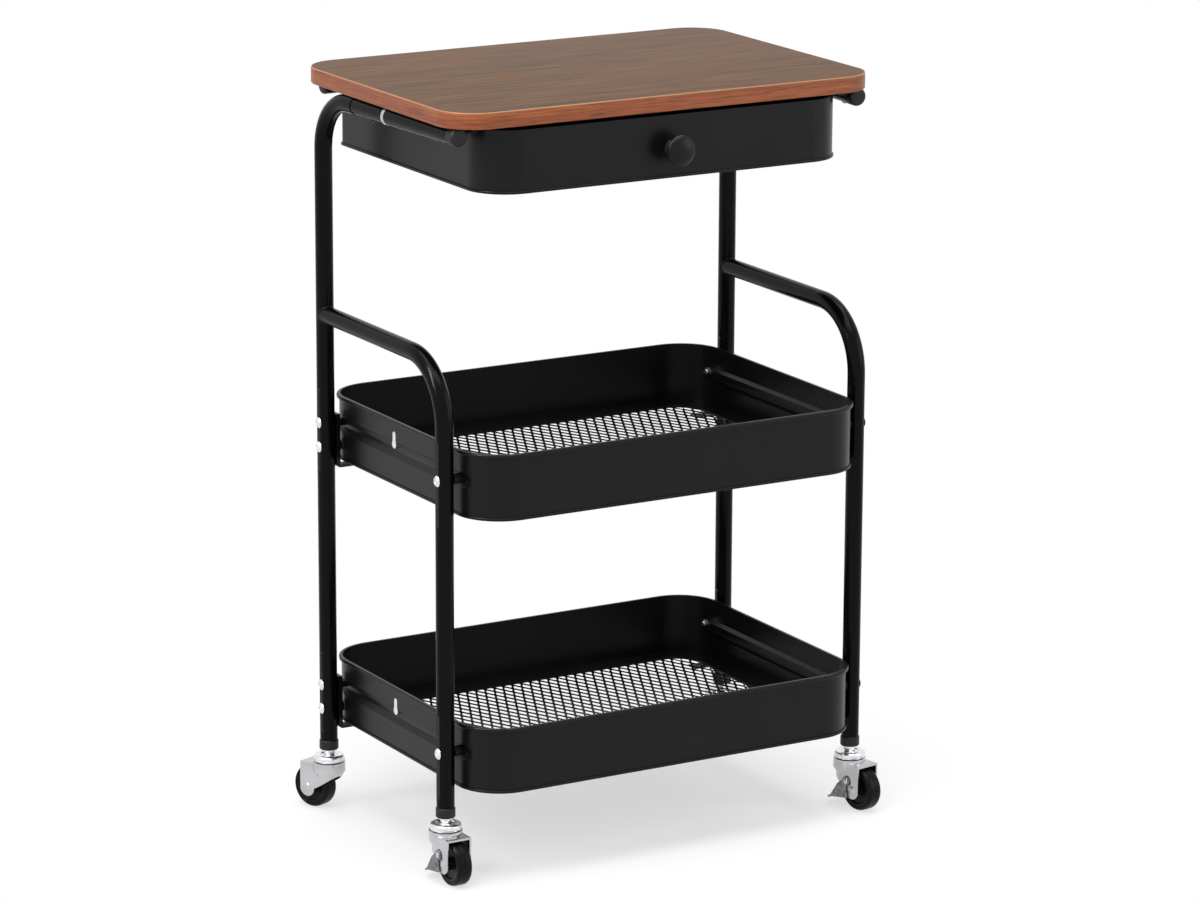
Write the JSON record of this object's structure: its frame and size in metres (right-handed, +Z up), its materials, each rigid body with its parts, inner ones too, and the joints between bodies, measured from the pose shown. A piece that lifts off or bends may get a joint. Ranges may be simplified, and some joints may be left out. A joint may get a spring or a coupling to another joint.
{
  "type": "kitchen trolley",
  "caption": "Rolling kitchen trolley: wood-look worktop over a sliding drawer, deep trays with mesh floors between black tube side frames with arched handles, swivel casters, brakes in front.",
  "frame": {"origin": "on the floor, under the middle of the whole trolley", "axes": "+X to the right seen from the front, +Y to the back, +Z up"},
  "size_m": [0.5768, 0.395, 0.855],
  "materials": {
    "laminate": "printed grey-brown wood laminate, satin",
    "black_paint": "satin black powder coat",
    "black_plastic": "moulded black",
    "drawer_panel": "black-faced hardboard",
    "bright_steel": "nickel-plated fasteners",
    "chrome": "bright plated",
    "zinc": "bright zinc plate",
    "wheel_plastic": "hard black plastic",
    "pedal_steel": "grey plated pressing"
  },
  "bodies": {
    "frame": {"worktop": "laminate", "rear_upright_left": "black_paint", "rear_upright_right": "black_paint", "top_arm_left": "black_paint", "top_arm_right": "black_paint", "handle_leg_left": "black_paint", "handle_leg_right": "black_paint", "drawer_runner_left": "black_paint", "drawer_runner_right": "black_paint", "upper_tray": "black_paint", "upper_tray_mesh": "black_paint", "lower_tray": "black_paint", "lower_tray_mesh": "black_paint", "tray_spacers": "black_paint", "tray_rear_brackets": "black_paint", "rear_cross_bar": "black_paint", "rear_straps": "black_paint", "arm_end_caps": "black_plastic", "foot_inserts": "black_plastic", "drawer_stops": "black_plastic", "rear_bar_plugs": "black_plastic", "arm_joint_rings": "bright_steel", "tray_screws": "bright_steel", "tray_nuts": "bright_steel", "worktop_screws": "bright_steel", "runner_screws": "bright_steel", "front_left_stem": "chrome", "front_right_stem": "chrome", "rear_left_stem": "chrome", "rear_right_stem": "chrome"},
    "drawer": {"drawer_body": "black_paint", "drawer_floor": "drawer_panel", "drawer_knob": "black_paint", "knob_screw": "bright_steel"},
    "front_left_caster": {"front_left_fork": "zinc", "front_left_axle": "zinc", "front_left_brake_pins": "zinc"},
    "front_left_wheel": {"front_left_wheel": "wheel_plastic"},
    "front_left_brake": {"front_left_brake_pedal": "pedal_steel"},
    "front_right_caster": {"front_right_fork": "zinc", "front_right_axle": "zinc", "front_right_brake_pins": "zinc"},
    "front_right_wheel": {"front_right_wheel": "wheel_plastic"},
    "front_right_brake": {"front_right_brake_pedal": "pedal_steel"},
    "rear_left_caster": {"rear_left_fork": "zinc", "rear_left_axle": "zinc"},
    "rear_left_wheel": {"rear_left_wheel": "wheel_plastic"},
    "rear_right_caster": {"rear_right_fork": "zinc", "rear_right_axle": "zinc"},
    "rear_right_wheel": {"rear_right_wheel": "wheel_plastic"}
  },
  "joints": [
    {"name": "drawer_slide", "type": "slide", "parent": "frame", "child": "drawer", "axis": [0, -1, 0], "range_m": [0, 0.22]},
    {"name": "front_left_swivel", "type": "hinge", "parent": "frame", "child": "front_left_caster", "pos_m": [-0.263, -0.139, 0.058], "axis": [0, 0, 1], "continuous": true},
    {"name": "front_left_wheel_spin", "type": "hinge", "parent": "front_left_caster", "child": "front_left_wheel", "pos_m": [-0.263, -0.16, 0.025], "axis": [1, 0, 0], "continuous": true},
    {"name": "front_left_brake_press", "type": "hinge", "parent": "front_left_caster", "child": "front_left_brake", "pos_m": [-0.263, -0.1515, 0.034], "axis": [1, 0, 0], "range_deg": [0, 25]},
    {"name": "front_right_swivel", "type": "hinge", "parent": "frame", "child": "front_right_caster", "pos_m": [0.263, -0.139, 0.058], "axis": [0, 0, 1], "continuous": true},
    {"name": "front_right_wheel_spin", "type": "hinge", "parent": "front_right_caster", "child": "front_right_wheel", "pos_m": [0.26629, -0.15974, 0.025], "axis": [0.9877, 0.1564, 0], "continuous": true},
    {"name": "front_right_brake_press", "type": "hinge", "parent": "front_right_caster", "child": "front_right_brake", "pos_m": [0.26496, -0.15135, 0.034], "axis": [0.9877, 0.1564, 0], "range_deg": [0, 25]},
    {"name": "rear_left_swivel", "type": "hinge", "parent": "frame", "child": "rear_left_caster", "pos_m": [-0.263, 0.1405, 0.058], "axis": [0, 0, 1], "continuous": true},
    {"name": "rear_left_wheel_spin", "type": "hinge", "parent": "rear_left_caster", "child": "rear_left_wheel", "pos_m": [-0.2708, 0.16, 0.025], "axis": [-0.9285, -0.3714, 0], "continuous": true},
    {"name": "rear_right_swivel", "type": "hinge", "parent": "frame", "child": "rear_right_caster", "pos_m": [0.263, 0.1405, 0.058], "axis": [0, 0, 1], "continuous": true},
    {"name": "rear_right_wheel_spin", "type": "hinge", "parent": "rear_right_caster", "child": "rear_right_wheel", "pos_m": [0.2708, 0.16, 0.025], "axis": [-0.9285, 0.3714, 0], "continuous": true}
  ]
}
